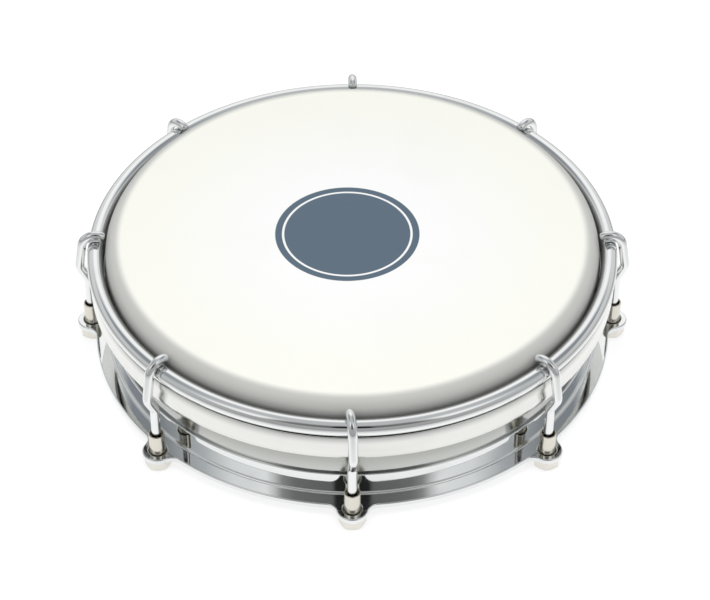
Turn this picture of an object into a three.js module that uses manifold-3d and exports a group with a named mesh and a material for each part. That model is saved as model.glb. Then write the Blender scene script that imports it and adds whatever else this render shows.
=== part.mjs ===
// Tamborim: a small hand drum whose plastic head is pulled tight by hooks on a round counter hoop.
// Millimetres, +Z up. The drum stands on the heads of its nuts at z = 0, with its axis on Z.
// Its front faces -Y, and the tension points are counted anticlockwise from there, seen from above.

import * as THREE from "three";
import { mergeVertices } from "three/addons/utils/BufferGeometryUtils.js";
import Module from "manifold-3d";

const wasm = await Module();
wasm.setup();

// Clearance between pieces that bear on each other
const SEAT_GAP = 0.25;

// Drumhead film: flat on top, rounded over the shell, with a hem turned out at its foot
const HEAD_DIAMETER = 152.4;
const FILM_THICKNESS = 0.4;
const SHOULDER_RADIUS = 5;
const HEM_WIDTH = 2.5;

// Shell: a sheet steel ring, rolled inwards at the top to bear the film
const SHELL_DEPTH = 35.2;
const SHELL_WALL = 1.2;
const CURL_ANGLE = THREE.MathUtils.degToRad(120);

// Counter hoop: a ring of round rod, set below the playing surface
const HOOP_ROD_DIAMETER = 5;
const HOOP_DROP = 6;
const HOOP_SLIP = 0.6;

// Flesh hoop: a barrel-shaped band between the film's hem and the counter hoop
const FLESH_HOOP_WIDTH = 4.85;
const FLESH_WALL_HEIGHT = 3;
const FLESH_CROWN_RADIUS = 7;
const FLESH_CROWN_TILT = THREE.MathUtils.degToRad(20);
const FLESH_FOOT_RADIUS = 7.5;
const FLESH_FOOT_TILT = THREE.MathUtils.degToRad(21);

// Tension ring: a plate with a lip under the shell, a collar round it, and ears for the nuts
const PLATE_THICKNESS = 1.9;
const LIP_WIDTH = 1;
const COLLAR_WALL = 0.6;
const COLLAR_HEIGHT = 7.75;
const COLLAR_FILLET = 0.8;
const FLANGE_WIDTH = 4.8;
const EAR_RIM = 2;
const EAR_FILLET = 3.5;

// Tension hooks: round wire with a claw over the hoop, a knee outside it and a straight lower end
const TENSION_POINTS = 8;
const WIRE_DIAMETER = 2.9;
const CLAW_CLEARANCE = 0.4;
const CLAW_END_ANGLE = THREE.MathUtils.degToRad(130);
const SHANK_LEAN = THREE.MathUtils.degToRad(9);
const KNEE_DROP = 8;
const JOG_DROP = 5.2;
const BEND_RADIUS = 4;
const WIRE_END_HEIGHT = 1.2;
const HOOK_TWIST = THREE.MathUtils.degToRad(8.5);

// Tension nuts: a sleeve through the ear on a hexagon head with a chamfered foot
const NUT_STANDOFF = 0.7;
const THREAD_CLEARANCE = 0.2;
const SLEEVE_WALL = 0.75;
const SLEEVE_STICKUP = 7;
const SLEEVE_CLEARANCE = 0.35;
const MOUTH_STEP = 0.3;
const MOUTH_DEPTH = 2;
const NUT_HEAD_HEIGHT = 3.3;
const NUT_SEAT_WIDTH = 0.85;
const NUT_CHAMFER = 0.5;
const CHAMFER_SLOPE = THREE.MathUtils.degToRad(30);
const NUT_FIRST_TURN = THREE.MathUtils.degToRad(30);
const NUT_TURN_STEP = THREE.MathUtils.degToRad(41);

// Facet counts
const RING_SEGMENTS = 64;
const ROD_SIDES = 12;
const WIRE_SIDES = 8;
const SLEEVE_SIDES = 16;
const CURVE_STEPS = 5;
const CLAW_STEPS = 6;
const BEND_STEPS = 3;
const EAR_STEPS = 8;
const FLANGE_STEPS = 6;

// How far a cutting or joining shape runs past the face it works on
const OVERRUN = 0.5;

// Radii, from the head outwards
const filmRadius = HEAD_DIAMETER / 2;
const filmInnerRadius = filmRadius - FILM_THICKNESS;
const shoulderCentreRadius = filmRadius - SHOULDER_RADIUS;
const shellRadius = filmInnerRadius - SEAT_GAP;
const shellInnerRadius = shellRadius - SHELL_WALL;
const rodRadius = HOOP_ROD_DIAMETER / 2;
const hoopRadius = filmRadius + HOOP_SLIP + rodRadius;
const fleshInnerRadius = filmRadius + SEAT_GAP;
const fleshRadius = fleshInnerRadius + FLESH_HOOP_WIDTH;
const collarInnerRadius = shellRadius + SEAT_GAP;
const collarRadius = collarInnerRadius + COLLAR_WALL;
const flangeRadius = collarRadius + FLANGE_WIDTH;
const wireRadius = WIRE_DIAMETER / 2;
const boreRadius = wireRadius + THREAD_CLEARANCE;
const sleeveRadius = boreRadius + SLEEVE_WALL;
const earHoleRadius = sleeveRadius + SLEEVE_CLEARANCE;
const earRadius = earHoleRadius + EAR_RIM;
const nutFlatRadius = earHoleRadius + NUT_SEAT_WIDTH;
const nutAxisRadius = hoopRadius + rodRadius + NUT_STANDOFF;

// Heights, from the floor up
const plateBottom = NUT_HEAD_HEIGHT + SEAT_GAP;
const plateTop = plateBottom + PLATE_THICKNESS;
const shellBottom = plateTop + SEAT_GAP;
const shellTop = shellBottom + SHELL_DEPTH;
const filmTop = shellTop + SEAT_GAP + FILM_THICKNESS;
const shoulderCentreHeight = filmTop - SHOULDER_RADIUS;
const hoopHeight = filmTop - HOOP_DROP;
const fleshTop = hoopHeight - rodRadius - SEAT_GAP;
const fleshWallTop = fleshTop - FLESH_CROWN_RADIUS * Math.sin(FLESH_CROWN_TILT);
const fleshWallBottom = fleshWallTop - FLESH_WALL_HEIGHT;
const fleshBottom = fleshWallBottom - FLESH_FOOT_RADIUS * Math.sin(FLESH_FOOT_TILT);
const hemTop = fleshBottom - SEAT_GAP;
const sleeveTop = plateTop + SLEEVE_STICKUP;

const FULL_TURN = 2 * Math.PI;
const RIGHT_ANGLE = Math.PI / 2;
const spacing = FULL_TURN / TENSION_POINTS;

const chrome = new THREE.MeshStandardMaterial({ color: 0xe7e8e8, roughness: 0.08, metalness: 1 });
const nickel = new THREE.MeshStandardMaterial({ color: 0xc8bda4, roughness: 0.25, metalness: 1 });
const aluminium = new THREE.MeshStandardMaterial({ color: 0xe7e7e4, roughness: 0.15, metalness: 1 });
const whiteFilm = new THREE.MeshStandardMaterial({ color: 0xf4f3ec, roughness: 0.35, metalness: 0 });

// Points on an arc, both ends included
function arc(x, y, radius, start, end, steps) {
  const points = [];
  for (let i = 0; i <= steps; i++) {
    const angle = start + ((end - start) * i) / steps;
    points.push(new THREE.Vector2(x + radius * Math.cos(angle), y + radius * Math.sin(angle)));
  }
  return points;
}

function circle(x, y, radius, sides) {
  return arc(x, y, radius, 0, FULL_TURN, sides).slice(0, sides);
}

// Turns a profile of radius and height about Z
function turned(profile, segments) {
  return new THREE.LatheGeometry(profile, segments).rotateX(RIGHT_ANGLE);
}

// Turns a profile that closes on itself
function turnedRing(profile, segments) {
  return turned([...profile, profile[0]], segments);
}

function solidOf(geometry) {
  const bare = geometry.clone();
  bare.deleteAttribute("normal");
  bare.deleteAttribute("uv");
  const merged = mergeVertices(bare);
  const vertProperties = merged.getAttribute("position").array;
  const triVerts = new Uint32Array(merged.index.array);
  return new wasm.Manifold(new wasm.Mesh({ numProp: 3, vertProperties, triVerts }));
}

function geometryOf(solid) {
  const mesh = solid.getMesh();
  const geometry = new THREE.BufferGeometry();
  geometry.setAttribute("position", new THREE.BufferAttribute(mesh.vertProperties, 3));
  geometry.setIndex(new THREE.BufferAttribute(mesh.triVerts, 1));
  geometry.computeVertexNormals();
  return geometry;
}

function named(name, geometry, material) {
  const mesh = new THREE.Mesh(geometry, material);
  mesh.name = name;
  return mesh;
}

// Points round the shoulder's centre, which the film and the shell's rolled edge share
function shoulderArc(radius, start, end) {
  return arc(shoulderCentreRadius, shoulderCentreHeight, radius, start, end, CURVE_STEPS);
}

function shellGeometry() {
  const curlRadius = SHOULDER_RADIUS - FILM_THICKNESS - SEAT_GAP;
  const outside = shoulderArc(curlRadius, 0, CURL_ANGLE);
  const inside = shoulderArc(curlRadius - SHELL_WALL, CURL_ANGLE, 0);
  const foot = new THREE.Vector2(shellRadius, shellBottom);
  const innerFoot = new THREE.Vector2(shellInnerRadius, shellBottom);
  return turnedRing([innerFoot, foot, ...outside, ...inside], RING_SEGMENTS);
}

function filmGeometry() {
  const shoulder = shoulderArc(SHOULDER_RADIUS, 0, RIGHT_ANGLE);
  const underShoulder = shoulderArc(SHOULDER_RADIUS - FILM_THICKNESS, RIGHT_ANGLE, 0);
  const hemRadius = filmRadius + HEM_WIDTH;
  const hemBottom = hemTop - FILM_THICKNESS;
  return turned([
    new THREE.Vector2(0, filmTop - FILM_THICKNESS),
    ...underShoulder,
    new THREE.Vector2(filmInnerRadius, hemBottom),
    new THREE.Vector2(hemRadius, hemBottom),
    new THREE.Vector2(hemRadius, hemTop),
    new THREE.Vector2(filmRadius, hemTop),
    ...shoulder,
    new THREE.Vector2(0, filmTop),
  ], RING_SEGMENTS);
}

function fleshHoopGeometry() {
  const footCentre = fleshRadius - FLESH_FOOT_RADIUS;
  const crownCentre = fleshRadius - FLESH_CROWN_RADIUS;
  return turnedRing([
    new THREE.Vector2(fleshInnerRadius, fleshBottom),
    ...arc(footCentre, fleshWallBottom, FLESH_FOOT_RADIUS, -FLESH_FOOT_TILT, 0, BEND_STEPS),
    ...arc(crownCentre, fleshWallTop, FLESH_CROWN_RADIUS, 0, FLESH_CROWN_TILT, BEND_STEPS),
    new THREE.Vector2(fleshInnerRadius, fleshTop),
  ], RING_SEGMENTS);
}

function counterHoopGeometry() {
  const ring = new THREE.TorusGeometry(hoopRadius, rodRadius, ROD_SIDES, RING_SEGMENTS);
  return ring.translate(0, 0, hoopHeight);
}

// One ear in plan, pointing along +X: a lobe round the nut that runs into the flange by two fillets
function earOutline(rootAngle) {
  const filletCentreRadius = flangeRadius + EAR_FILLET;
  const x = filletCentreRadius * Math.cos(rootAngle);
  const y = filletCentreRadius * Math.sin(rootAngle);
  const lobeAngle = Math.atan2(y, x - nutAxisRadius);
  const flangeSide = Math.PI - rootAngle;
  const lobeSide = Math.PI - lobeAngle;
  return [
    ...arc(x, -y, EAR_FILLET, flangeSide, lobeSide, BEND_STEPS),
    ...arc(nutAxisRadius, 0, earRadius, -lobeAngle, lobeAngle, EAR_STEPS).slice(1, -1),
    ...arc(x, y, EAR_FILLET, -lobeSide, -flangeSide, BEND_STEPS),
  ];
}

// Angle from an ear's middle to where its fillet leaves the flange
function earRootAngle() {
  const toFillet = flangeRadius + EAR_FILLET;
  const lobeToFillet = earRadius + EAR_FILLET;
  const cosine = (nutAxisRadius ** 2 + toFillet ** 2 - lobeToFillet ** 2) / (2 * nutAxisRadius * toFillet);
  return Math.acos(cosine);
}

function plateShape() {
  const rootAngle = earRootAngle();
  const ear = earOutline(rootAngle);
  const centre = new THREE.Vector2();
  const outline = [];
  const holes = [circle(0, 0, shellInnerRadius - LIP_WIDTH, RING_SEGMENTS)];
  for (let i = 0; i < TENSION_POINTS; i++) {
    const azimuth = i * spacing;
    const flangeStart = azimuth + rootAngle;
    const flangeEnd = azimuth + spacing - rootAngle;
    const flange = arc(0, 0, flangeRadius, flangeStart, flangeEnd, FLANGE_STEPS);
    outline.push(...ear.map((point) => point.clone().rotateAround(centre, azimuth)));
    outline.push(...flange.slice(1, -1));
    const holeX = nutAxisRadius * Math.cos(azimuth);
    const holeY = nutAxisRadius * Math.sin(azimuth);
    holes.push(circle(holeX, holeY, earHoleRadius, SLEEVE_SIDES));
  }
  const shape = new THREE.Shape(outline);
  shape.holes = holes.map((points) => new THREE.Path(points));
  return shape;
}

function tensionRingGeometry() {
  const plate = new THREE.ExtrudeGeometry(plateShape(), { depth: PLATE_THICKNESS, bevelEnabled: false });
  plate.translate(0, 0, plateBottom);
  const root = plateTop - PLATE_THICKNESS / 2;
  const collarTop = plateTop + COLLAR_HEIGHT;
  const filletRadius = collarRadius + COLLAR_FILLET;
  const fillet = arc(
    filletRadius, plateTop + COLLAR_FILLET, COLLAR_FILLET, 3 * RIGHT_ANGLE, 2 * RIGHT_ANGLE, BEND_STEPS,
  );
  const collar = turnedRing([
    new THREE.Vector2(collarInnerRadius, root),
    new THREE.Vector2(filletRadius, root),
    ...fillet,
    new THREE.Vector2(collarRadius, collarTop),
    new THREE.Vector2(collarInnerRadius, collarTop),
  ], RING_SEGMENTS);
  return geometryOf(solidOf(plate).add(solidOf(collar)));
}

// A path through stations, each with its own direction, so that the steps fall where the wire bends
class WirePath extends THREE.Curve {
  constructor(stations) {
    super();
    this.stations = stations;
  }

  get steps() {
    return this.stations.length - 1;
  }

  getUtoTmapping(u) {
    return u;
  }

  getPoint(t, target = new THREE.Vector3()) {
    const place = t * this.steps;
    const index = Math.min(Math.floor(place), this.steps - 1);
    const { point } = this.stations[index];
    const next = this.stations[index + 1].point;
    return target.lerpVectors(point, next, place - index);
  }

  getTangent(t, target = new THREE.Vector3()) {
    return target.copy(this.stations[Math.round(t * this.steps)].direction);
  }
}

// A station in the plane of the hook, from its place outside the nut's axis and its height
function station(point, direction) {
  return {
    point: new THREE.Vector3(point.x, 0, point.y),
    direction: new THREE.Vector3(direction.x, 0, direction.y),
  };
}

// Stations round a bend at a corner of the wire
function bend(before, corner, after) {
  const into = corner.clone().sub(before).normalize();
  const out = after.clone().sub(corner).normalize();
  const turn = Math.atan2(into.cross(out), into.dot(out));
  const setback = BEND_RADIUS * Math.tan(Math.abs(turn) / 2);
  const start = corner.clone().addScaledVector(into, -setback);
  const side = new THREE.Vector2(-into.y, into.x);
  const centre = start.clone().addScaledVector(side, Math.sign(turn) * BEND_RADIUS);
  const stations = [];
  for (let i = 0; i <= BEND_STEPS; i++) {
    const angle = (turn * i) / BEND_STEPS;
    const direction = into.clone().rotateAround(new THREE.Vector2(), angle);
    stations.push(station(start.clone().rotateAround(centre, angle), direction));
  }
  return stations;
}

// From the claw's tip over the hoop, out to the knee, back in to the nut's axis, which is on Z, and down
function hookGeometry() {
  const clawRadius = rodRadius + CLAW_CLEARANCE + wireRadius;
  const rodCentre = new THREE.Vector2(hoopRadius - nutAxisRadius, hoopHeight);
  const claw = [];
  for (let i = 0; i <= CLAW_STEPS; i++) {
    const angle = CLAW_END_ANGLE + ((SHANK_LEAN - CLAW_END_ANGLE) * i) / CLAW_STEPS;
    const outward = new THREE.Vector2(Math.cos(angle), Math.sin(angle));
    const point = rodCentre.clone().addScaledVector(outward, clawRadius);
    claw.push(station(point, new THREE.Vector2(outward.y, -outward.x)));
  }
  const leave = new THREE.Vector2(
    rodCentre.x + clawRadius * Math.cos(SHANK_LEAN),
    rodCentre.y + clawRadius * Math.sin(SHANK_LEAN),
  );
  const kneeHeight = hoopHeight - KNEE_DROP;
  const knee = new THREE.Vector2(leave.x + (leave.y - kneeHeight) * Math.tan(SHANK_LEAN), kneeHeight);
  const elbow = new THREE.Vector2(0, kneeHeight - JOG_DROP);
  const end = new THREE.Vector2(0, WIRE_END_HEIGHT);
  const path = new WirePath([
    ...claw,
    ...bend(leave, knee, elbow),
    ...bend(knee, elbow, end),
    station(end, new THREE.Vector2(0, -1)),
  ]);
  const section = new THREE.Shape(circle(0, 0, wireRadius, WIRE_SIDES));
  return new THREE.ExtrudeGeometry(section, { steps: path.steps, extrudePath: path });
}

// The nut stands on its chamfered foot at z = 0, with its axis on Z
function nutGeometry() {
  const cornerRadius = nutFlatRadius / Math.cos(Math.PI / 6);
  const hexagon = new THREE.Shape(circle(0, 0, cornerRadius, 6));
  const head = new THREE.ExtrudeGeometry(hexagon, { depth: NUT_HEAD_HEIGHT, bevelEnabled: false });
  const outerRadius = cornerRadius + OVERRUN;
  const footRadius = cornerRadius - NUT_CHAMFER;
  const envelope = turned([
    new THREE.Vector2(0, 0),
    new THREE.Vector2(footRadius, 0),
    new THREE.Vector2(outerRadius, (outerRadius - footRadius) * Math.tan(CHAMFER_SLOPE)),
    new THREE.Vector2(outerRadius, NUT_HEAD_HEIGHT),
    new THREE.Vector2(0, NUT_HEAD_HEIGHT),
  ], SLEEVE_SIDES);
  const sleeve = turned([
    new THREE.Vector2(0, NUT_HEAD_HEIGHT / 2),
    new THREE.Vector2(sleeveRadius, NUT_HEAD_HEIGHT / 2),
    new THREE.Vector2(sleeveRadius, sleeveTop),
    new THREE.Vector2(0, sleeveTop),
  ], SLEEVE_SIDES);
  const mouthRadius = boreRadius + MOUTH_STEP;
  const bore = turned([
    new THREE.Vector2(0, -OVERRUN),
    new THREE.Vector2(boreRadius, -OVERRUN),
    new THREE.Vector2(boreRadius, sleeveTop - MOUTH_DEPTH),
    new THREE.Vector2(mouthRadius, sleeveTop - MOUTH_DEPTH + MOUTH_STEP),
    new THREE.Vector2(mouthRadius, sleeveTop + OVERRUN),
    new THREE.Vector2(0, sleeveTop + OVERRUN),
  ], SLEEVE_SIDES);
  const solid = solidOf(head).intersect(solidOf(envelope)).add(solidOf(sleeve));
  return geometryOf(solid.subtract(solidOf(bore)));
}

const tamborim = new THREE.Group();
tamborim.add(named("shell", shellGeometry(), chrome));
tamborim.add(named("drumhead_film", filmGeometry(), whiteFilm));
tamborim.add(named("flesh_hoop", fleshHoopGeometry(), aluminium));
tamborim.add(named("counter_hoop", counterHoopGeometry(), chrome));
tamborim.add(named("tension_ring", tensionRingGeometry(), chrome));

// Each nut dragged its hook round a little as it was tightened, the front one most
const hook = hookGeometry();
const nut = nutGeometry();
for (let i = 0; i < TENSION_POINTS; i++) {
  const tensionPoint = new THREE.Group();
  tensionPoint.rotation.z = i * spacing - RIGHT_ANGLE;
  const hookMesh = named(`tension_hook_${i + 1}`, hook, chrome);
  hookMesh.position.x = nutAxisRadius;
  hookMesh.rotation.z = HOOK_TWIST / (i + 1);
  const nutMesh = named(`tension_nut_${i + 1}`, nut, nickel);
  nutMesh.position.x = nutAxisRadius;
  nutMesh.rotation.z = NUT_FIRST_TURN + i * NUT_TURN_STEP;
  tensionPoint.add(hookMesh, nutMesh);
  tamborim.add(tensionPoint);
}

export default tamborim;
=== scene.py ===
# Looks of the tamborim: chromed rings and hooks, nickel nuts and a white film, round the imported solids.
# Metres, +Z up. The drum's axis is Z, it stands on z = 0, and its front faces -Y.

import math
from collections import namedtuple

import bpy
import bmesh
from mathutils import Matrix, Vector


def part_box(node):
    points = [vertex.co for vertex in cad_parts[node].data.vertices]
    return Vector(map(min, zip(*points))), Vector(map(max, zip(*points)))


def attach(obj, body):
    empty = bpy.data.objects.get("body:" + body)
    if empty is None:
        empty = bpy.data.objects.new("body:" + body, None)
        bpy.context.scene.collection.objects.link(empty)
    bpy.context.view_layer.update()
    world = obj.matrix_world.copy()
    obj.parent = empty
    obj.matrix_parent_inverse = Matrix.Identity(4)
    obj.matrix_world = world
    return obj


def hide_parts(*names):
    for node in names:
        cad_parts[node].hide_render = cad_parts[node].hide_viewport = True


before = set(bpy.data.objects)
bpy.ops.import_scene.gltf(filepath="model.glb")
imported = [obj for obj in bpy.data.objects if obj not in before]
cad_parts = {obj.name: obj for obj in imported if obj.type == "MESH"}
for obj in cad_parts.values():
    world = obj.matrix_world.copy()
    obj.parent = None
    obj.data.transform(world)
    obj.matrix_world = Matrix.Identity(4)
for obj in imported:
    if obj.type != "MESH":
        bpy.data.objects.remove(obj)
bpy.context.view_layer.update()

MM = 0.001
FULL_TURN = 2 * math.pi
HALF_TURN = math.pi
RIGHT_ANGLE = math.pi / 2
TENSION_POINTS = 8
SPACING = FULL_TURN / TENSION_POINTS

# Fineness of the meshes
RING_SEGMENTS = 256
ROD_STEPS = 48
SHOULDER_STEPS = 24
EDGE_STEPS = 5
WIRE_SIDES = 32
BEND_STEPS = 10
CLAW_STEPS = 28
CLAW_TIP_STEPS = 8
THREAD_STEPS = 8
NUT_SEGMENTS = 96
LOBE_STEPS = 28
FILLET_STEPS = 10
FLANGE_STEPS = 24
HOLE_STEPS = 48

# Film
FILM_THICKNESS = 0.4 * MM
SHOULDER_RADIUS = 5 * MM
HEM_WIDTH = 2.5 * MM
HEM_TRIM = 2.1 * MM
HEM_BEND = 0.5 * MM
HEM_FILLET = 0.15 * MM

# Shell and flesh hoop
SHELL_WALL = 1.2 * MM
SEAT_GAP = 0.25 * MM
CURL_ANGLE = math.radians(120)
FLESH_HOOP_WIDTH = 4.85 * MM
FLESH_CROWN_RADIUS = 7 * MM
FLESH_CROWN_TILT = math.radians(20)
FLESH_FOOT_RADIUS = 7.5 * MM
FLESH_FOOT_TILT = math.radians(21)
FLESH_HOOP_ROUND = 0.25 * MM

# Tension ring
PLATE_THICKNESS = 1.9 * MM
PLATE_ROUND = 0.45 * MM
LIP_WIDTH = 1 * MM
COLLAR_WALL = 0.6 * MM
COLLAR_SLIP = 0.06 * MM
COLLAR_FILLET = 0.8 * MM
COLLAR_ROUND = 0.3 * MM
COLLAR_INNER_ROUND = 0.08 * MM
INNER_FILLET = 0.2 * MM
FLANGE_WIDTH = 4.8 * MM
EAR_RIM = 2 * MM
EAR_FILLET = 3.5 * MM

# Hooks
WIRE_RADIUS = 1.45 * MM
CLAW_CLEARANCE = 0.4 * MM
CLAW_END_ANGLE = math.radians(130)
CLAW_TIP_LENGTH = 0.9 * MM
SHANK_LEAN = math.radians(9)
KNEE_DROP = 8 * MM
JOG_DROP = 5.2 * MM
BEND_RADIUS = 4 * MM
HOOK_TWIST = math.radians(8.5)
THREAD_PITCH = 0.5 * MM
THREAD_DEPTH = 0.28 * MM
THREAD_TOP_DROP = 1 * MM
THREAD_RUN_OUT = 1 * MM
WIRE_END_CHAMFER = 0.35 * MM

# Nuts
NUT_SIDES = 6
THREAD_CLEARANCE = 0.2 * MM
SLEEVE_WALL = 0.75 * MM
SLEEVE_CLEARANCE = 0.35 * MM
SLEEVE_ROUND = 0.2 * MM
MOUTH_STEP = 0.3 * MM
MOUTH_DEPTH = 2 * MM
NUT_HEAD_HEIGHT = 3.3 * MM
NUT_SEAT_WIDTH = 0.85 * MM
NUT_FOOT_MARGIN = 0.08 * MM
NUT_FOOT_COUNTERSINK = 0.3 * MM
NUT_ROOT_FILLET = 0.15 * MM
NUT_SHARP_ANGLE = math.radians(25)
CHAMFER_SLOPE = math.radians(30)
NUT_FIRST_TURN = math.radians(30)
NUT_TURN_STEP = math.radians(41)

# Heights and radii from the frame
hoop_low, hoop_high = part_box("counter_hoop")
film_low, film_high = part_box("drumhead_film")
shell_low, shell_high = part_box("shell")
flesh_low, flesh_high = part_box("flesh_hoop")
ring_low, ring_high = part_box("tension_ring")
_, nut_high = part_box("tension_nut_1")
hook_low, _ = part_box("tension_hook_1")

rod_radius = (hoop_high.z - hoop_low.z) / 2
hoop_height = (hoop_high.z + hoop_low.z) / 2
hoop_radius = hoop_high.x - rod_radius
film_top = film_high.z
film_radius = film_high.x - HEM_WIDTH
shoulder_centre = (film_radius - SHOULDER_RADIUS, film_top - SHOULDER_RADIUS)
shell_radius = shell_high.x
plate_bottom = ring_low.z
plate_top = plate_bottom + PLATE_THICKNESS
collar_top = ring_high.z
lip_radius = shell_radius - SHELL_WALL - LIP_WIDTH
collar_radius = shell_radius + SEAT_GAP + COLLAR_WALL
collar_inner_radius = shell_radius + COLLAR_SLIP
flange_radius = collar_radius + FLANGE_WIDTH
bore_radius = WIRE_RADIUS + THREAD_CLEARANCE
sleeve_radius = bore_radius + SLEEVE_WALL
ear_hole_radius = sleeve_radius + SLEEVE_CLEARANCE
ear_radius = ear_hole_radius + EAR_RIM
nut_axis_radius = ring_high.x - ear_radius
nut_flat_radius = ear_hole_radius + NUT_SEAT_WIDTH
sleeve_top = nut_high.z
wire_end_height = hook_low.z


# Outlines: lists of radius, height and the outward normal at that point
def arc(centre, radius, start, end, steps, facing=1):
    outline = []
    for i in range(steps + 1):
        angle = start + (end - start) * i / steps
        out = math.cos(angle)
        up = math.sin(angle)
        outline.append((centre[0] + radius * out, centre[1] + radius * up, facing * out, facing * up))
    return outline


def corner_arc(radius, height, rounding, start, end, facing):
    """A quarter turn that touches both sides of the corner at a radius and height."""
    middle = (start + end) / 2
    inset = rounding * math.sqrt(2)
    centre = (radius - inset * math.cos(middle), height - inset * math.sin(middle))
    return arc(centre, rounding, start, end, EDGE_STEPS, facing)


def rounded_corner(radius, height, rounding, start):
    """An outer corner, whose arc starts at the given angle."""
    return corner_arc(radius, height, rounding, start, start + RIGHT_ANGLE, facing=1)


def hollow_corner(radius, height, rounding, start):
    """An inner corner, walked from the given angle backwards."""
    return corner_arc(radius, height, rounding, start, start - RIGHT_ANGLE, facing=-1)


# Meshes
def mesh_piece(name, points, faces, normals=None):
    mesh = bpy.data.meshes.new(name)
    mesh.from_pydata(points, [], faces)
    mesh.polygons.foreach_set("use_smooth", [True] * len(mesh.polygons))
    if normals:
        mesh.normals_split_custom_set_from_vertices(normals)
    piece = bpy.data.objects.new(name, mesh)
    bpy.context.scene.collection.objects.link(piece)
    return piece


def join_rings(first, second):
    """Faces between two closed rings of vertex numbers, either of which may be one point."""
    count = max(len(first), len(second))
    faces = []
    for k in range(count):
        after = (k + 1) % count
        if len(first) == 1 and len(second) == 1:
            continue
        if len(first) == 1:
            faces.append((first[0], second[after], second[k]))
        elif len(second) == 1:
            faces.append((first[k], first[after], second[0]))
        else:
            faces.append((first[k], first[after], second[after], second[k]))
    return faces


def skin(rings, closed=False):
    """Points and faces of a surface over rings of points. A closed one joins the last to the first."""
    points = []
    numbers = []
    for ring in rings:
        numbers.append(range(len(points), len(points) + len(ring)))
        points.extend(ring)
    following = numbers[1:]
    if closed:
        following.append(numbers[0])
    faces = []
    for first, second in zip(numbers, following):
        faces.extend(join_rings(first, second))
    return points, faces


def turned_piece(name, outline):
    """Turns a closed outline about Z, with points on the axis where its radius is zero."""
    rings = []
    normals = []
    for radius, height, out, up in outline:
        ring = []
        for k in range(RING_SEGMENTS if radius > 0 else 1):
            angle = FULL_TURN * k / RING_SEGMENTS
            cosine = math.cos(angle)
            sine = math.sin(angle)
            ring.append((radius * cosine, radius * sine, height))
            normals.append((out * cosine, out * sine, up))
        rings.append(ring)
    points, faces = skin(rings, closed=True)
    return mesh_piece(name, points, faces, normals)


# Rings turned about the drum's axis
def shoulder(inset, start, end, facing=1):
    """The shoulder that the film and the shell's rolled edge share, set in from the film's outside."""
    return arc(shoulder_centre, SHOULDER_RADIUS - inset, start, end, SHOULDER_STEPS, facing)


def make_film():
    """A cap whose hem is trimmed to end just under the flesh hoop."""
    inner_radius = film_radius - FILM_THICKNESS
    hem_bottom = film_low.z
    hem_top = hem_bottom + FILM_THICKNESS
    hem_half = FILM_THICKNESS / 2
    hem_edge = (film_high.x - HEM_TRIM - hem_half, hem_bottom + hem_half)
    outline = [(0, film_top - FILM_THICKNESS, 0, -1)]
    outline += shoulder(FILM_THICKNESS, RIGHT_ANGLE, 0, facing=-1)
    outline += rounded_corner(inner_radius, hem_bottom, HEM_BEND, HALF_TURN)
    outline += arc(hem_edge, hem_half, -RIGHT_ANGLE, RIGHT_ANGLE, EDGE_STEPS)
    outline += hollow_corner(film_radius, hem_top, HEM_FILLET, 3 * RIGHT_ANGLE)
    outline += shoulder(0, 0, RIGHT_ANGLE)
    outline.append((0, film_top, 0, 1))
    return turned_piece("head_film", outline)


def make_shell():
    """A straight band with a round foot, rolled in at the top to bear the film."""
    half = SHELL_WALL / 2
    inset = FILM_THICKNESS + SEAT_GAP
    foot = (shell_radius - half, shell_low.z + half)
    curl_radius = SHOULDER_RADIUS - inset - half
    curl_end = (
        shoulder_centre[0] + curl_radius * math.cos(CURL_ANGLE),
        shoulder_centre[1] + curl_radius * math.sin(CURL_ANGLE),
    )
    outline = arc(foot, half, HALF_TURN, FULL_TURN, 2 * EDGE_STEPS)
    outline += shoulder(inset, 0, CURL_ANGLE)
    outline += arc(curl_end, half, CURL_ANGLE, CURL_ANGLE + HALF_TURN, 2 * EDGE_STEPS)[1:-1]
    outline += shoulder(inset + SHELL_WALL, CURL_ANGLE, 0, facing=-1)
    return turned_piece("shell_band", outline)


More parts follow.
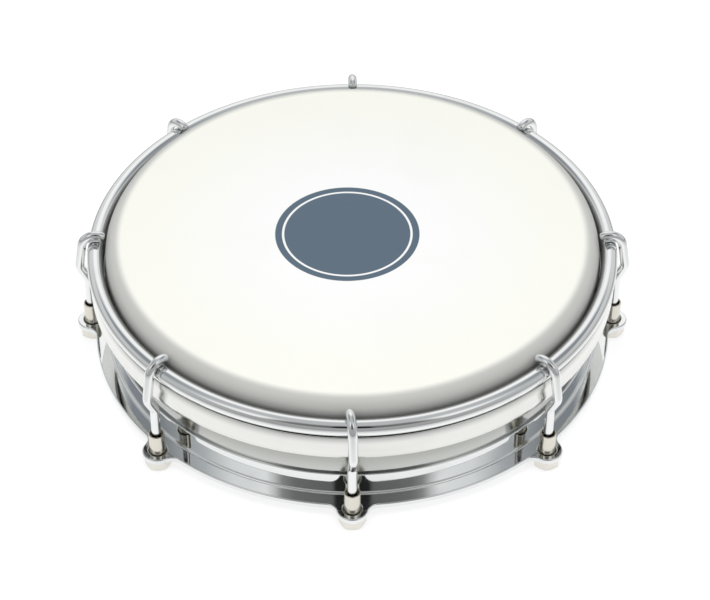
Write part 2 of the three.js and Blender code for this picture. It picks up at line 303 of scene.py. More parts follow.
def make_flesh_hoop():
    """A band with a bulged outside: a foot arc, a short wall and a crown arc, with rounded edges."""
    inner = flesh_high.x - FLESH_HOOP_WIDTH
    foot_height = flesh_low.z + FLESH_FOOT_RADIUS * math.sin(FLESH_FOOT_TILT)
    foot_centre = (flesh_high.x - FLESH_FOOT_RADIUS, foot_height)
    foot_reach = FLESH_FOOT_RADIUS - FLESH_HOOP_ROUND
    foot_tilt = math.asin((foot_height - flesh_low.z - FLESH_HOOP_ROUND) / foot_reach)
    foot_edge = (foot_centre[0] + foot_reach * math.cos(foot_tilt), flesh_low.z + FLESH_HOOP_ROUND)
    crown_height = flesh_high.z - FLESH_CROWN_RADIUS * math.sin(FLESH_CROWN_TILT)
    crown_centre = (flesh_high.x - FLESH_CROWN_RADIUS, crown_height)
    crown_reach = FLESH_CROWN_RADIUS - FLESH_HOOP_ROUND
    crown_tilt = math.asin((flesh_high.z - FLESH_HOOP_ROUND - crown_height) / crown_reach)
    crown_edge = (crown_centre[0] + crown_reach * math.cos(crown_tilt), flesh_high.z - FLESH_HOOP_ROUND)
    outline = rounded_corner(inner, flesh_low.z, FLESH_HOOP_ROUND, HALF_TURN)
    outline += arc(foot_edge, FLESH_HOOP_ROUND, -RIGHT_ANGLE, -foot_tilt, EDGE_STEPS)
    outline += arc(foot_centre, FLESH_FOOT_RADIUS, -foot_tilt, 0, SHOULDER_STEPS)[1:]
    outline += arc(crown_centre, FLESH_CROWN_RADIUS, 0, crown_tilt, SHOULDER_STEPS)
    outline += arc(crown_edge, FLESH_HOOP_ROUND, crown_tilt, RIGHT_ANGLE, EDGE_STEPS)[1:]
    outline += rounded_corner(inner, flesh_high.z, FLESH_HOOP_ROUND, RIGHT_ANGLE)
    return turned_piece("flesh_ring", outline)


def make_counter_hoop():
    outline = arc((hoop_radius, hoop_height), rod_radius, 0, FULL_TURN, ROD_STEPS)[:-1]
    return turned_piece("hoop_rod", outline)


# Tension ring: plan curves are lists of a point and its outward normal
def plan_arc(centre, radius, start, end, steps, facing=1):
    return [
        (Vector((x, y)), Vector((out, up)))
        for x, y, out, up in arc(centre, radius, start, end, steps, facing)
    ]


def turn_plan(curve, angle):
    turn = Matrix.Rotation(angle, 2)
    return [(turn @ point, turn @ normal) for point, normal in curve]


def ear_root_angle():
    """Angle from an ear's middle to where its fillet leaves the flange, by the law of cosines."""
    axis_to_fillet = flange_radius + EAR_FILLET
    nut_to_fillet = ear_radius + EAR_FILLET
    squares = nut_axis_radius ** 2 + axis_to_fillet ** 2 - nut_to_fillet ** 2
    return math.acos(squares / (2 * nut_axis_radius * axis_to_fillet))


def flange_outline():
    """Plan of the flange with its ears, which are lobes that run into it by fillets."""
    root = ear_root_angle()
    axis_to_fillet = flange_radius + EAR_FILLET
    x = axis_to_fillet * math.cos(root)
    y = axis_to_fillet * math.sin(root)
    lobe = math.atan2(y, x - nut_axis_radius)
    nut_axis = (nut_axis_radius, 0)
    ear = plan_arc((x, -y), EAR_FILLET, HALF_TURN - root, HALF_TURN - lobe, FILLET_STEPS, facing=-1)
    ear += plan_arc(nut_axis, ear_radius, lobe - HALF_TURN, HALF_TURN - lobe, LOBE_STEPS)[1:-1]
    ear += plan_arc((x, y), EAR_FILLET, HALF_TURN + lobe, HALF_TURN + root, FILLET_STEPS, facing=-1)
    flange = plan_arc((0, 0), flange_radius, root, SPACING - root, FLANGE_STEPS)[1:-1]
    outline = []
    for i in range(TENSION_POINTS):
        outline += turn_plan(ear + flange, i * SPACING)
    return outline


class RingBuilder:
    """Collects rings of vertices with their normals, and the faces between them."""

    def __init__(self):
        self.points = []
        self.normals = []
        self.faces = []

    def ring(self, curve, inset, height, out, up):
        start = len(self.points)
        for point, normal in curve:
            place = point - normal * inset
            self.points.append((place.x, place.y, height))
            self.normals.append((normal.x * out, normal.y * out, up))
        return list(range(start, len(self.points)))

    def wall(self, curve, profile):
        """Rings along a profile of inset, height and normal. Returns the first and the last."""
        rings = [self.ring(curve, *station) for station in profile]
        for first, second in zip(rings, rings[1:]):
            self.faces.extend(join_rings(first, second))
        return rings[0], rings[-1]

    def fill(self, loops, upwards):
        """Flat triangles between closed loops of one height."""
        flat = bmesh.new()
        numbers = {}
        edges = []
        for loop in loops:
            vertices = [flat.verts.new(self.points[number]) for number in loop]
            numbers.update(zip(vertices, loop))
            edges += [flat.edges.new(pair) for pair in zip(vertices, vertices[1:] + vertices[:1])]
        bmesh.ops.triangle_fill(flat, edges=edges, use_beauty=True, use_dissolve=False)
        for face in flat.faces:
            corners = [numbers[vertex] for vertex in face.verts]
            if (face.normal.z > 0) != upwards:
                corners.reverse()
            self.faces.append(corners)
        flat.free()


def rim_profile():
    """From the plate's lower face round its edge to its upper face, as insets from the edge."""
    lower = arc((-PLATE_ROUND, plate_bottom + PLATE_ROUND), PLATE_ROUND, -RIGHT_ANGLE, 0, EDGE_STEPS)
    upper = arc((-PLATE_ROUND, plate_top - PLATE_ROUND), PLATE_ROUND, 0, RIGHT_ANGLE, EDGE_STEPS)
    return [(-place, height, out, up) for place, height, out, up in lower + upper]


def collar_profile():
    """From the flange up the collar's outside, down its inside, over the lip and under it."""
    outline = hollow_corner(collar_radius, plate_top, COLLAR_FILLET, 3 * RIGHT_ANGLE)
    outline += rounded_corner(collar_radius, collar_top, COLLAR_ROUND, 0)
    outline += rounded_corner(collar_inner_radius, collar_top, COLLAR_INNER_ROUND, RIGHT_ANGLE)
    outline += hollow_corner(collar_inner_radius, plate_top, INNER_FILLET, 0)
    outline += rounded_corner(lip_radius, plate_top, PLATE_ROUND, RIGHT_ANGLE)
    outline += rounded_corner(lip_radius, plate_bottom, PLATE_ROUND, HALF_TURN)
    return [(-radius, height, out, up) for radius, height, out, up in outline]


def make_tension_ring():
    """A plate with ears and their holes, and the collar that stands on it."""
    ring = RingBuilder()
    axis = plan_arc((0, 0), 0, 0, FULL_TURN, RING_SEGMENTS)[:-1]
    inner_high, inner_low = ring.wall(axis, collar_profile())
    outer_low, outer_high = ring.wall(flange_outline(), rim_profile())
    low_loops = [outer_low, inner_low]
    high_loops = [outer_high, inner_high]
    hole = plan_arc((nut_axis_radius, 0), ear_hole_radius, FULL_TURN, 0, HOLE_STEPS, facing=-1)[:-1]
    for i in range(TENSION_POINTS):
        hole_low, hole_high = ring.wall(turn_plan(hole, i * SPACING), rim_profile())
        low_loops.append(hole_low)
        high_loops.append(hole_high)
    ring.fill(low_loops, upwards=False)
    ring.fill(high_loops, upwards=True)
    return mesh_piece("eared_ring", ring.points, ring.faces, ring.normals)


# Hooks: stations along the wire in the hook's own plane, each a place and a direction
def wire_bend(before, corner, after):
    into = (corner - before).normalized()
    out = (after - corner).normalized()
    turn = math.atan2(into.x * out.y - into.y * out.x, into.dot(out))
    start = corner - into * (BEND_RADIUS * math.tan(abs(turn) / 2))
    centre = start + Vector((-into.y, into.x)) * math.copysign(BEND_RADIUS, turn)
    stations = []
    for i in range(BEND_STEPS + 1):
        swing = Matrix.Rotation(turn * i / BEND_STEPS, 2)
        stations.append((centre + swing @ (start - centre), swing @ into))
    return stations


def wire_stations():
    """From the claw's tip over the hoop, out to the knee, back in to the nut's axis and down."""
    claw_radius = rod_radius + CLAW_CLEARANCE + WIRE_RADIUS
    rod_centre = Vector((hoop_radius - nut_axis_radius, hoop_height))
    tip_angle = CLAW_END_ANGLE - CLAW_TIP_LENGTH / claw_radius
    stations = []
    for i in range(CLAW_STEPS + 1):
        angle = tip_angle + (SHANK_LEAN - tip_angle) * i / CLAW_STEPS
        outward = Vector((math.cos(angle), math.sin(angle)))
        stations.append((rod_centre + outward * claw_radius, Vector((outward.y, -outward.x))))
    leave = stations[-1][0]
    knee_height = hoop_height - KNEE_DROP
    knee = Vector((leave.x + (leave.y - knee_height) * math.tan(SHANK_LEAN), knee_height))
    elbow = Vector((0, knee_height - JOG_DROP))
    end = Vector((0, wire_end_height))
    return stations + wire_bend(leave, knee, elbow) + wire_bend(knee, elbow, end)


def wire_ring(place, direction, radii):
    """Points round the wire at a station, with a radius for each side of the wire."""
    across = Vector((direction.y, -direction.x))
    ring = []
    for k, radius in enumerate(radii):
        angle = FULL_TURN * k / WIRE_SIDES
        out = place + across * (radius * math.cos(angle))
        ring.append((out.x, radius * math.sin(angle), out.y))
    return ring


def plain_ring(place, direction, radius):
    return wire_ring(place, direction, [radius] * WIRE_SIDES)


def tip_rings(place, direction):
    """Rings that close the claw's tip to a dome, from its point outwards."""
    point = place - direction * CLAW_TIP_LENGTH
    rings = [[(point.x, 0, point.y)]]
    for i in range(1, CLAW_TIP_STEPS):
        angle = RIGHT_ANGLE * (1 - i / CLAW_TIP_STEPS)
        middle = place - direction * (CLAW_TIP_LENGTH * math.sin(angle))
        rings.append(plain_ring(middle, direction, WIRE_RADIUS * math.cos(angle)))
    return rings


def thread_radius(height, angle, top):
    """Radius of the rolled thread at a height and angle, running out into the plain wire at its top."""
    phase = (height / THREAD_PITCH - angle / FULL_TURN) % 1
    ridge = abs(2 * phase - 1) - 1 / 2
    run_out = min(1, max(0, (top - height) / THREAD_RUN_OUT))
    end = min(1, (height - wire_end_height) / WIRE_END_CHAMFER)
    return WIRE_RADIUS + run_out * THREAD_DEPTH * ridge - WIRE_END_CHAMFER * (1 - end)


def thread_rings():
    """Rings down the threaded end, closed by a point."""
    top = sleeve_top - THREAD_TOP_DROP
    down = Vector((0, -1))
    count = math.ceil((top - wire_end_height) / THREAD_PITCH * THREAD_STEPS)
    rings = []
    for i in range(count + 1):
        height = top + (wire_end_height - top) * i / count
        radii = [thread_radius(height, FULL_TURN * k / WIRE_SIDES, top) for k in range(WIRE_SIDES)]
        rings.append(wire_ring(Vector((0, height)), down, radii))
    rings.append([(0, 0, wire_end_height)])
    return rings


def hook_mesh():
    stations = wire_stations()
    rings = tip_rings(*stations[0])
    for place, direction in stations:
        rings.append(plain_ring(place, direction, WIRE_RADIUS))
    return skin(rings + thread_rings())


# Nuts
def hexagon_radius(angle):
    sector = FULL_TURN / NUT_SIDES
    return nut_flat_radius / math.cos(angle % sector - sector / 2)


def nut_profile(angle):
    """The nut's outline at an angle, from its foot up, over the sleeve and down the bore."""
    edge = hexagon_radius(angle)
    foot = nut_flat_radius - NUT_FOOT_MARGIN
    chamfer = (edge - foot) * math.tan(CHAMFER_SLOPE)
    mouth_radius = bore_radius + MOUTH_STEP
    profile = [
        (bore_radius + NUT_FOOT_COUNTERSINK, 0),
        (foot, 0),
        (edge, chamfer),
        (edge, NUT_HEAD_HEIGHT - chamfer),
        (foot, NUT_HEAD_HEIGHT),
    ]
    root = (sleeve_radius + NUT_ROOT_FILLET, NUT_HEAD_HEIGHT + NUT_ROOT_FILLET)
    rim = (sleeve_radius - SLEEVE_ROUND, sleeve_top - SLEEVE_ROUND)
    lip = (mouth_radius + SLEEVE_ROUND, sleeve_top - SLEEVE_ROUND)
    rounds = arc(root, NUT_ROOT_FILLET, 3 * RIGHT_ANGLE, HALF_TURN, EDGE_STEPS)
    rounds += arc(rim, SLEEVE_ROUND, 0, RIGHT_ANGLE, EDGE_STEPS)
    rounds += arc(lip, SLEEVE_ROUND, RIGHT_ANGLE, HALF_TURN, EDGE_STEPS)
    profile += [(radius, height) for radius, height, _, _ in rounds]
    profile += [
        (mouth_radius, sleeve_top - MOUTH_DEPTH + MOUTH_STEP),
        (bore_radius, sleeve_top - MOUTH_DEPTH),
        (bore_radius, NUT_FOOT_COUNTERSINK),
    ]
    return profile


def nut_mesh():
    columns = []
    for k in range(NUT_SEGMENTS):
        angle = FULL_TURN * k / NUT_SEGMENTS
        columns.append([
            (radius * math.cos(angle), radius * math.sin(angle), height)
            for radius, height in nut_profile(angle)
        ])
    return skin([list(ring) for ring in zip(*columns)], closed=True)


# Node helpers
# A mix node's sockets for colour, which share their names with its sockets for other values
MIX_FACTOR = 0
MIX_FIRST = 6
MIX_SECOND = 7
MIX_RESULT = 2


def node(tree, kind, values=None, **settings):
    """Adds a node, links the values that are sockets and sets the others."""
    added = tree.nodes.new(kind)
    for name, value in settings.items():
        setattr(added, name, value)
    for name, value in (values or {}).items():
        socket = added.inputs[name]
        if isinstance(value, bpy.types.NodeSocket):
            tree.links.new(value, socket)
        else:
            socket.default_value = value
    return added


def math_node(tree, operation, *values):
    return node(tree, "ShaderNodeMath", dict(enumerate(values)), operation=operation).outputs[0]


def smooth_step(tree, value, low, high):
    """Runs smoothly from 0 to 1 as the value goes from low to high."""
    ramp = node(
        tree, "ShaderNodeMapRange", {"Value": value, "From Min": low, "From Max": high},
        interpolation_type="SMOOTHSTEP",
    )
    return ramp.outputs["Result"]


def mix_colour(tree, factor, first, second):
    values = {MIX_FACTOR: factor, MIX_FIRST: first, MIX_SECOND: second}
    return node(tree, "ShaderNodeMix", values, data_type="RGBA").outputs[MIX_RESULT]


def object_place(tree):
    """The place on a piece, in the piece's own axes."""
    return node(tree, "ShaderNodeTexCoord").outputs["Object"]


def split_axes(tree, vector):
    return node(tree, "ShaderNodeSeparateXYZ", {"Vector": vector}).outputs


def plan_distance(tree, axes, centre=(0, 0)):
    """Distance from a point, seen from above."""
    flat = node(tree, "ShaderNodeCombineXYZ", {"X": axes["X"], "Y": axes["Y"]}).outputs["Vector"]
    apart = node(tree, "ShaderNodeVectorMath", {0: flat, 1: (*centre, 0)}, operation="DISTANCE")
    return apart.outputs["Value"]


def new_group(name, inputs, output):
    """An empty shader node group with named sockets. Returns it with its inputs and its output."""
    group = bpy.data.node_groups.new(name, "ShaderNodeTree")
    for socket, kind in inputs:
        group.interface.new_socket(socket, in_out="INPUT", socket_type=kind)
    group.interface.new_socket(output, in_out="OUTPUT", socket_type="NodeSocketFloat")
    given = group.nodes.new("NodeGroupInput")
    result = group.nodes.new("NodeGroupOutput")
    return group, given.outputs, result.inputs[output]


def place_group(tree, group, values):
    return node(tree, "ShaderNodeGroup", values, node_tree=group).outputs[0]


# Shared effects
LINE_STRETCH = 0.004
LINE_DETAIL = 4.0
LINE_BREAKUP = 0.65
LINE_RANGE = (0.45, 0.75)
SMUDGE_DETAIL = 3.0
SMUDGE_DISTORTION = 0.6
SMUDGE_RANGE = (0.5, 0.72)
PEEL_DETAIL = 2.0
PEEL_HEIGHT = 0.05 * MM
FLAT_POINTINESS = 0.5
WEAR_RANGE = (0.0, 0.06)


def polish_lines_group():
    """Fine lines that a polishing wheel leaves round a turned or rolled ring."""
    group, given, lines = new_group(
        "polish lines", [("Place", "NodeSocketVector"), ("Fineness", "NodeSocketFloat")], "Lines",
    )
    axes = split_axes(group, given["Place"])
    angle = math_node(group, "ARCTAN2", axes["Y"], axes["X"])
    stretched = node(group, "ShaderNodeCombineXYZ", {
        "X": math_node(group, "MULTIPLY", angle, LINE_STRETCH),
        "Y": plan_distance(group, axes),
        "Z": axes["Z"],
    }).outputs["Vector"]
    noise = node(group, "ShaderNodeTexNoise", {
        "Vector": stretched, "Scale": given["Fineness"],
        "Detail": LINE_DETAIL, "Roughness": LINE_BREAKUP,
    })
    group.links.new(smooth_step(group, noise.outputs["Fac"], *LINE_RANGE), lines)
    return group


def smudges_group():
    """Soft patches that hands leave on metal and film."""
    group, given, patches = new_group(
        "handling smudges", [("Place", "NodeSocketVector"), ("Scale", "NodeSocketFloat")], "Smudges",
    )
    noise = node(group, "ShaderNodeTexNoise", {
        "Vector": given["Place"], "Scale": given["Scale"],
        "Detail": SMUDGE_DETAIL, "Distortion": SMUDGE_DISTORTION,
    })
    group.links.new(smooth_step(group, noise.outputs["Fac"], *SMUDGE_RANGE), patches)
    return group


def orange_peel_group():
    """The slight unevenness of a plated or coated surface."""
    group, given, height = new_group(
        "orange peel", [("Place", "NodeSocketVector"), ("Scale", "NodeSocketFloat")], "Height",
    )
    noise = node(group, "ShaderNodeTexNoise", {
        "Vector": given["Place"], "Scale": given["Scale"], "Detail": PEEL_DETAIL,
    })
    group.links.new(noise.outputs["Fac"], height)
    return group


def edge_wear_group():
    """Where corners stand proud and rub bright."""
    group, given, wear = new_group("edge wear", [("Sharpness", "NodeSocketFloat")], "Wear")
    pointed = node(group, "ShaderNodeNewGeometry").outputs["Pointiness"]
    start = math_node(group, "ADD", given["Sharpness"], FLAT_POINTINESS)
    above = math_node(group, "SUBTRACT", pointed, start)
    group.links.new(smooth_step(group, above, *WEAR_RANGE), wear)
    return group


polish_lines = polish_lines_group()
smudges = smudges_group()
orange_peel = orange_peel_group()
edge_wear = edge_wear_group()

# Metal finishes
CHROME = (0.80, 0.81, 0.81, 1)
CHROME_DULL = (0.72, 0.73, 0.73, 1)
# Shell chrome is duller and warmer than the rings', and set darker still: painted shade of the floor it
# mirrors near the drum
SHELL_CHROME = (0.55, 0.555, 0.535, 1)
SHELL_CHROME_DULL = (0.48, 0.485, 0.465, 1)
# Painted shade under the flesh hoop: the shell's chrome turns darker from a little above the collar
# upwards
SHELL_CHROME_SHADED = (0.40, 0.405, 0.385, 1)
SHELL_SHADE_RISE = 6.5 * MM
NICKEL = (0.69, 0.66, 0.585, 1)
NICKEL_DULL = (0.56, 0.53, 0.45, 1)
ALUMINIUM = (0.765, 0.765, 0.74, 1)
ALUMINIUM_DULL = (0.70, 0.70, 0.67, 1)
LINE_FINENESS = 2600.0
METAL_SMUDGE_SCALE = 45.0
METAL_SMUDGE_TINT = 0.6
METAL_SMUDGE_ROUGHNESS = 0.05
WEAR_SHARPNESS = 0.02
WEAR_BRIGHT = (0.93, 0.93, 0.92, 1)
WEAR_TINT = 0.3

MetalFinish = namedtuple("MetalFinish", "colour dulled roughness line_depth peel peel_scale")
SHELL_FINISH = MetalFinish(
    SHELL_CHROME, SHELL_CHROME_DULL, roughness=0.12, line_depth=0.08, peel=0.05, peel_scale=350.0,
)
HOOP_FINISH = MetalFinish(
    CHROME, CHROME_DULL, roughness=0.05, line_depth=0.03, peel=0.05, peel_scale=350.0,
)
RING_FINISH = MetalFinish(
    CHROME, CHROME_DULL, roughness=0.04, line_depth=0.03, peel=0.04, peel_scale=250.0,
)
HOOK_FINISH = MetalFinish(
    CHROME, CHROME_DULL, roughness=0.07, line_depth=0.04, peel=0.08, peel_scale=700.0,
)
NUT_FINISH = MetalFinish(
    NICKEL, NICKEL_DULL, roughness=0.16, line_depth=0.08, peel=0.1, peel_scale=900.0,
)
FLESH_HOOP_FINISH = MetalFinish(
    ALUMINIUM, ALUMINIUM_DULL, roughness=0.17, line_depth=0.08, peel=0.05, peel_scale=350.0,
)

# Film finish, with reaches from the axis and drops below the film's top
FILM_WHITE = (0.93, 0.93, 0.915, 1)
FILM_CREAM = (0.92, 0.915, 0.835, 1)
FILM_SMUDGED = (0.90, 0.895, 0.84, 1)
# Painted shade: the film's shoulder greys from the flat's edge outwards
FILM_SHOULDER_SHADE = (0.59, 0.59, 0.56, 1)
# Painted shade: the film darkens further below its top, in the channel by the hoop and on the hem
FILM_CHANNEL_SHADE = (0.40, 0.40, 0.38, 1)
CREAM_REACH = (25 * MM, 70 * MM)
SHOULDER_SHADE_REACH = (70.7 * MM, 73.4 * MM)
CHANNEL_SHADE_DROP = (1.8 * MM, 5.2 * MM)
FILM_ROUGHNESS = 0.3
FILM_PEEL = 0.08
FILM_PEEL_SCALE = 900.0
FILM_SMUDGE_SCALE = 28.0
FILM_SMUDGE_TINT = 0.3
FILM_SMUDGE_ROUGHNESS = 0.08
PRINT_SLATE = (0.068, 0.114, 0.164, 1)
PRINT_CENTRE = (-1.5 * MM, -0.8 * MM)
PRINT_RADIUS = 22.2 * MM
PRINT_RING = (19.4 * MM, 20.1 * MM)
PRINT_EDGE = 0.12 * MM
PRINT_DROP = (0.4 * FILM_THICKNESS, 0.6 * FILM_THICKNESS)


# Materials
def clear_tree(owner):
    """The emptied node tree of a material or a world."""
    owner.use_nodes = True
    owner.node_tree.nodes.clear()
    return owner.node_tree


def new_material(name):
    material = bpy.data.materials.new(name)
    return material, clear_tree(material)


def put_surface(tree, colour, roughness, normal, metallic):
    """Feeds the shader and hands it to the material."""
    surface = node(tree, "ShaderNodeBsdfPrincipled", {
        "Base Color": colour, "Roughness": roughness, "Normal": normal, "Metallic": metallic,
    })
    node(tree, "ShaderNodeOutputMaterial", {"Surface": surface.outputs["BSDF"]})


def peeled_normal(tree, place, strength, scale):
    """The surface's normal with a slight orange peel."""
    height = place_group(tree, orange_peel, {"Place": place, "Scale": scale})
    bump = node(tree, "ShaderNodeBump", {
        "Height": height, "Strength": strength, "Distance": PEEL_HEIGHT,
    })
    return bump.outputs["Normal"]


def polished_metal(name, finish, painted_shade=None):
    """Faint lines round the ring, smudges that dull it, rubbed edges and a slight orange peel.

    Where a piece is given painted shade further up, painted_shade holds the shade's colour and the two
    heights between which that colour sets in.
    """
    material, tree = new_material(name)
    place = object_place(tree)
    lines = place_group(tree, polish_lines, {"Place": place, "Fineness": LINE_FINENESS})
    marks = place_group(tree, smudges, {"Place": place, "Scale": METAL_SMUDGE_SCALE})
    wear = place_group(tree, edge_wear, {"Sharpness": WEAR_SHARPNESS})
    smudged = math_node(tree, "MULTIPLY", marks, METAL_SMUDGE_TINT)
    rubbed = math_node(tree, "MULTIPLY", wear, WEAR_TINT)
    colour = mix_colour(tree, smudged, finish.colour, finish.dulled)
    colour = mix_colour(tree, rubbed, colour, WEAR_BRIGHT)
    # Painted shade: the colour darkens between two heights
    if painted_shade:
        shade_colour, start, end = painted_shade
        shaded = smooth_step(tree, split_axes(tree, place)["Z"], start, end)
        colour = mix_colour(tree, shaded, colour, shade_colour)
    lined = math_node(tree, "MULTIPLY_ADD", lines, finish.line_depth, finish.roughness)
    roughness = math_node(tree, "MULTIPLY_ADD", marks, METAL_SMUDGE_ROUGHNESS, lined)
    normal = peeled_normal(tree, place, finish.peel, finish.peel_scale)
    put_surface(tree, colour, roughness, normal, metallic=1.0)
    return material


def print_mask(tree, axes, drop):
    """1 on the plain dot at the film's middle, apart from a thin ring left unprinted."""
    reach = plan_distance(tree, axes, PRINT_CENTRE)
    ring_inner, ring_outer = PRINT_RING
    inside = smooth_step(tree, reach, PRINT_RADIUS + PRINT_EDGE, PRINT_RADIUS - PRINT_EDGE)
    past_inner = smooth_step(tree, reach, ring_inner - PRINT_EDGE, ring_inner + PRINT_EDGE)
    before_outer = smooth_step(tree, reach, ring_outer + PRINT_EDGE, ring_outer - PRINT_EDGE)
    ring = math_node(tree, "MULTIPLY", past_inner, before_outer)
    on_top = smooth_step(tree, drop, PRINT_DROP[1], PRINT_DROP[0])
    return math_node(tree, "MULTIPLY", math_node(tree, "SUBTRACT", inside, ring), on_top)


def film_material(name):
    """White film, creamier outwards, with painted shade that greys its shoulder and darkens it further
    down.
    """
    material, tree = new_material(name)
    place = object_place(tree)
    axes = split_axes(tree, place)
    radius = plan_distance(tree, axes)
    drop = math_node(tree, "SUBTRACT", film_top, axes["Z"])
    marks = place_group(tree, smudges, {"Place": place, "Scale": FILM_SMUDGE_SCALE})
    smudged = math_node(tree, "MULTIPLY", marks, FILM_SMUDGE_TINT)
    colour = mix_colour(tree, smooth_step(tree, radius, *CREAM_REACH), FILM_WHITE, FILM_CREAM)
    colour = mix_colour(tree, smudged, colour, FILM_SMUDGED)
    # Painted shade on the shoulder, by distance from the axis
    colour = mix_colour(tree, smooth_step(tree, radius, *SHOULDER_SHADE_REACH), colour, FILM_SHOULDER_SHADE)
    # Painted shade, by depth below the film's top
    colour = mix_colour(tree, smooth_step(tree, drop, *CHANNEL_SHADE_DROP), colour, FILM_CHANNEL_SHADE)
    colour = mix_colour(tree, print_mask(tree, axes, drop), colour, PRINT_SLATE)
    roughness = math_node(tree, "MULTIPLY_ADD", marks, FILM_SMUDGE_ROUGHNESS, FILM_ROUGHNESS)
    normal = peeled_normal(tree, place, FILM_PEEL, FILM_PEEL_SCALE)
    put_surface(tree, colour, roughness, normal, metallic=0.0)
    return material


# Painted shade on the shell band, darker upwards under the flesh hoop
shell_painted_shade = (SHELL_CHROME_SHADED, collar_top, collar_top + SHELL_SHADE_RISE)
shell_chrome = polished_metal("shell chrome", SHELL_FINISH, shell_painted_shade)
hoop_chrome = polished_metal("hoop chrome", HOOP_FINISH)
ring_chrome = polished_metal("ring chrome", RING_FINISH)
hook_chrome = polished_metal("hook chrome", HOOK_FINISH)
nut_nickel = polished_metal("nut nickel", NUT_FINISH)
flesh_aluminium = polished_metal("flesh hoop aluminium", FLESH_HOOP_FINISH)
white_film = film_material("white film")


# Assembly
def dress(piece, material, body, cad_node):
    """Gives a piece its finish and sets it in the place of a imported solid."""
    piece.data.materials.append(material)
    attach(piece, body)
    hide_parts(cad_node)


def turn_about_z(angle):
    return Matrix.Rotation(angle, 4, "Z")


dress(make_shell(), shell_chrome, "drum", "shell")
dress(make_film(), white_film, "drum", "drumhead_film")
dress(make_flesh_hoop(), flesh_aluminium, "drum", "flesh_hoop")
dress(make_counter_hoop(), hoop_chrome, "drum", "counter_hoop")
dress(make_tension_ring(), ring_chrome, "drum", "tension_ring")

hook_points, hook_faces = hook_mesh()
nut_points, nut_faces = nut_mesh()
to_nut_axis = Matrix.Translation((nut_axis_radius, 0, 0))
for i in range(TENSION_POINTS):
    number = i + 1
    station = turn_about_z(i * SPACING - RIGHT_ANGLE) @ to_nut_axis
    hook = mesh_piece(f"hook_{number}", hook_points, hook_faces)
    hook.matrix_world = station @ turn_about_z(HOOK_TWIST / number)
    dress(hook, hook_chrome, f"tension_hook_{number}", f"tension_hook_{number}")
    nut = mesh_piece(f"nut_{number}", nut_points, nut_faces)
    nut.data.set_sharp_from_angle(angle=NUT_SHARP_ANGLE)
    nut.matrix_world = station @ turn_about_z(NUT_FIRST_TURN + i * NUT_TURN_STEP)
    dress(nut, nut_nickel, f"tension_nut_{number}", f"tension_nut_{number}")

# Studio floor, with a painted pool of light that metal sees on it, by millimetres from the drum's axis
WHITE = (1, 1, 1, 1)
FLOOR_SIZE = 8.0
FLOOR_SHADE = (0.45, 0.45, 0.45, 1)
FLOOR_GLOW = 0.70
FLOOR_LIGHT_POOL = (
    (106, (1, 1, 1, 1)),
    (124, (0.80, 0.80, 0.80, 1)),
    (161, (0.48, 0.48, 0.48, 1)),
    (300, (0.12, 0.12, 0.12, 1)),
    (500, (0, 0, 0, 1)),
)

# Studio lamp, a soft one overhead
LAMP_HEIGHT = 0.6
LAMP_FORWARD = 0.12
LAMP_SIZE = 0.5
LAMP_POWER = 1.92

# Studio room, dark behind the camera with a light on each side: shades by degrees from the front
ROOM_SPAN = 180
CEILING_SHADE = (0.56, 0.57, 0.58, 1)
CEILING_ELEVATION = (52, 76)
LOW_ELEVATION = (30, 38)
LOW_ROOM = (
    (0, (0.42, 0.42, 0.42, 1)),
    (36, (0.42, 0.42, 0.42, 1)),
    (60, (0.52, 0.53, 0.53, 1)),
    (96, (0.64, 0.65, 0.65, 1)),
    (150, (0.78, 0.79, 0.79, 1)),
    (172, (0.95, 0.95, 0.95, 1)),
)
HIGH_ROOM = (
    (0, (0.02, 0.02, 0.02, 1)),
    (8, (0.02, 0.02, 0.02, 1)),
    (9.5, (0.16, 0.16, 0.16, 1)),
    (28, (0.21, 0.21, 0.21, 1)),
    (34, (0.33, 0.33, 0.33, 1)),
    (38, (0.74, 0.74, 0.74, 1)),
    (42, (1.06, 1.06, 1.06, 1)),
    (60, (0.95, 0.96, 0.96, 1)),
    (76, (0.58, 0.60, 0.62, 1)),
    (104, (0.30, 0.32, 0.34, 1)),
    (133, (0.29, 0.315, 0.345, 1)),
    (145, (0.60, 0.62, 0.64, 1)),
    (157, (0.98, 0.98, 0.98, 1)),
    (168, (1.1, 1.1, 1.1, 1)),
)

# Camera, found by matching the rings' ellipses, with its lens and sensor in millimetres
CAMERA_LENS = 121.697
CAMERA_SENSOR = 36.0
CAMERA_DISTANCE = 724.13 * MM
CAMERA_ELEVATION = math.radians(41.934)
CAMERA_ROLL = math.radians(-0.066)
CAMERA_AIM = (0.834 * MM, -24.874 * MM)


def mirrored_rays(tree):
    """1 for rays that look at the studio in a mirror or through glass."""
    path = node(tree, "ShaderNodeLightPath").outputs
    return math_node(tree, "MAXIMUM", path["Is Glossy Ray"], path["Is Transmission Ray"])


def straight_rays(tree):
    """1 for rays from the camera."""
    return node(tree, "ShaderNodeLightPath").outputs["Is Camera Ray"]


def shade_ramp(tree, value, shades, span):
    """The shade at a value, from rows of values and shades over a span that starts at 0."""
    ramp = node(tree, "ShaderNodeValToRGB", {"Fac": math_node(tree, "DIVIDE", value, span)})
    stops = ramp.color_ramp.elements
    while len(stops) < len(shades):
        stops.new(1.0)
    for stop, (place, shade) in zip(stops, shades):
        stop.position = place / span
        stop.color = shade
    return ramp.outputs["Color"]


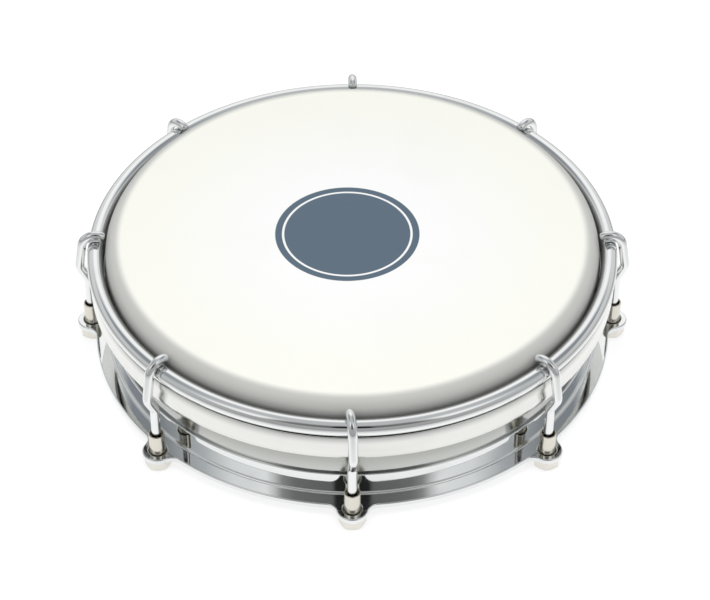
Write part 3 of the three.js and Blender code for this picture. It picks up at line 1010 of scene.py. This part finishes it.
def make_floor():
    """Matt, so that it takes the drum's shadow, with an even glow for the camera and a painted pool of
    glow for metal close by.
    """
    bpy.ops.mesh.primitive_plane_add(size=FLOOR_SIZE)
    floor = bpy.context.object
    floor.name = "studio_floor"
    material, tree = new_material("studio floor")
    place = object_place(tree)
    reach = node(tree, "ShaderNodeVectorMath", {0: place}, operation="LENGTH").outputs["Value"]
    millimetres = math_node(tree, "DIVIDE", reach, MM)
    # Painted pool of light: full near the drum for mirrored rays, fading to nothing outwards
    light_pool = shade_ramp(tree, millimetres, FLOOR_LIGHT_POOL, FLOOR_LIGHT_POOL[-1][0])
    mirrored = math_node(tree, "MULTIPLY", mirrored_rays(tree), light_pool)
    seen = math_node(tree, "MAXIMUM", straight_rays(tree), mirrored)
    strength = math_node(tree, "MULTIPLY", seen, FLOOR_GLOW)
    matt = node(tree, "ShaderNodeBsdfDiffuse", {"Color": FLOOR_SHADE})
    glow = node(tree, "ShaderNodeEmission", {"Strength": strength})
    both = node(tree, "ShaderNodeAddShader", {0: matt.outputs[0], 1: glow.outputs[0]})
    node(tree, "ShaderNodeOutputMaterial", {"Surface": both.outputs[0]})
    material.cycles.emission_sampling = "NONE"
    floor.data.materials.append(material)


def height_blend(tree, height, elevations, below, above):
    """Runs from one shade to another between two elevations."""
    start, end = (math.sin(math.radians(elevation)) for elevation in elevations)
    return mix_colour(tree, smooth_step(tree, height, start, end), below, above)


def make_room():
    """The room's light, alike on both sides: a low row of shades, a high row and the ceiling."""
    world = bpy.data.worlds.new("studio")
    bpy.context.scene.world = world
    tree = clear_tree(world)
    axes = split_axes(tree, node(tree, "ShaderNodeTexCoord").outputs["Generated"])
    sideways = math_node(tree, "ABSOLUTE", axes["X"])
    forwards = math_node(tree, "MULTIPLY", axes["Y"], -1.0)
    azimuth = math_node(tree, "DEGREES", math_node(tree, "ARCTAN2", sideways, forwards))
    low_shades = shade_ramp(tree, azimuth, LOW_ROOM, ROOM_SPAN)
    high_shades = shade_ramp(tree, azimuth, HIGH_ROOM, ROOM_SPAN)
    walls = height_blend(tree, axes["Z"], LOW_ELEVATION, low_shades, high_shades)
    room = height_blend(tree, axes["Z"], CEILING_ELEVATION, walls, CEILING_SHADE)
    colour = mix_colour(tree, straight_rays(tree), room, WHITE)
    background = node(tree, "ShaderNodeBackground", {"Color": colour})
    node(tree, "ShaderNodeOutputWorld", {"Surface": background.outputs[0]})


def make_lamp():
    light = bpy.data.lights.new("overhead_lamp", "AREA")
    light.energy = LAMP_POWER
    light.size = LAMP_SIZE
    lamp = bpy.data.objects.new("overhead_lamp", light)
    lamp.location = (0, -LAMP_FORWARD, LAMP_HEIGHT)
    lamp.visible_glossy = False
    bpy.context.scene.collection.objects.link(lamp)


def make_camera():
    data = bpy.data.cameras.new("camera")
    data.lens = CAMERA_LENS
    data.sensor_width = CAMERA_SENSOR
    camera = bpy.data.objects.new("camera", data)
    aim = Matrix.Translation((*CAMERA_AIM, hoop_height))
    tilt = Matrix.Rotation(RIGHT_ANGLE - CAMERA_ELEVATION, 4, "X")
    back = Matrix.Translation((0, 0, CAMERA_DISTANCE))
    camera.matrix_world = aim @ tilt @ back @ turn_about_z(CAMERA_ROLL)
    bpy.context.scene.collection.objects.link(camera)
    bpy.context.scene.camera = camera


make_floor()
make_room()
make_lamp()
make_camera()
bpy.context.scene.view_settings.view_transform = "Standard"
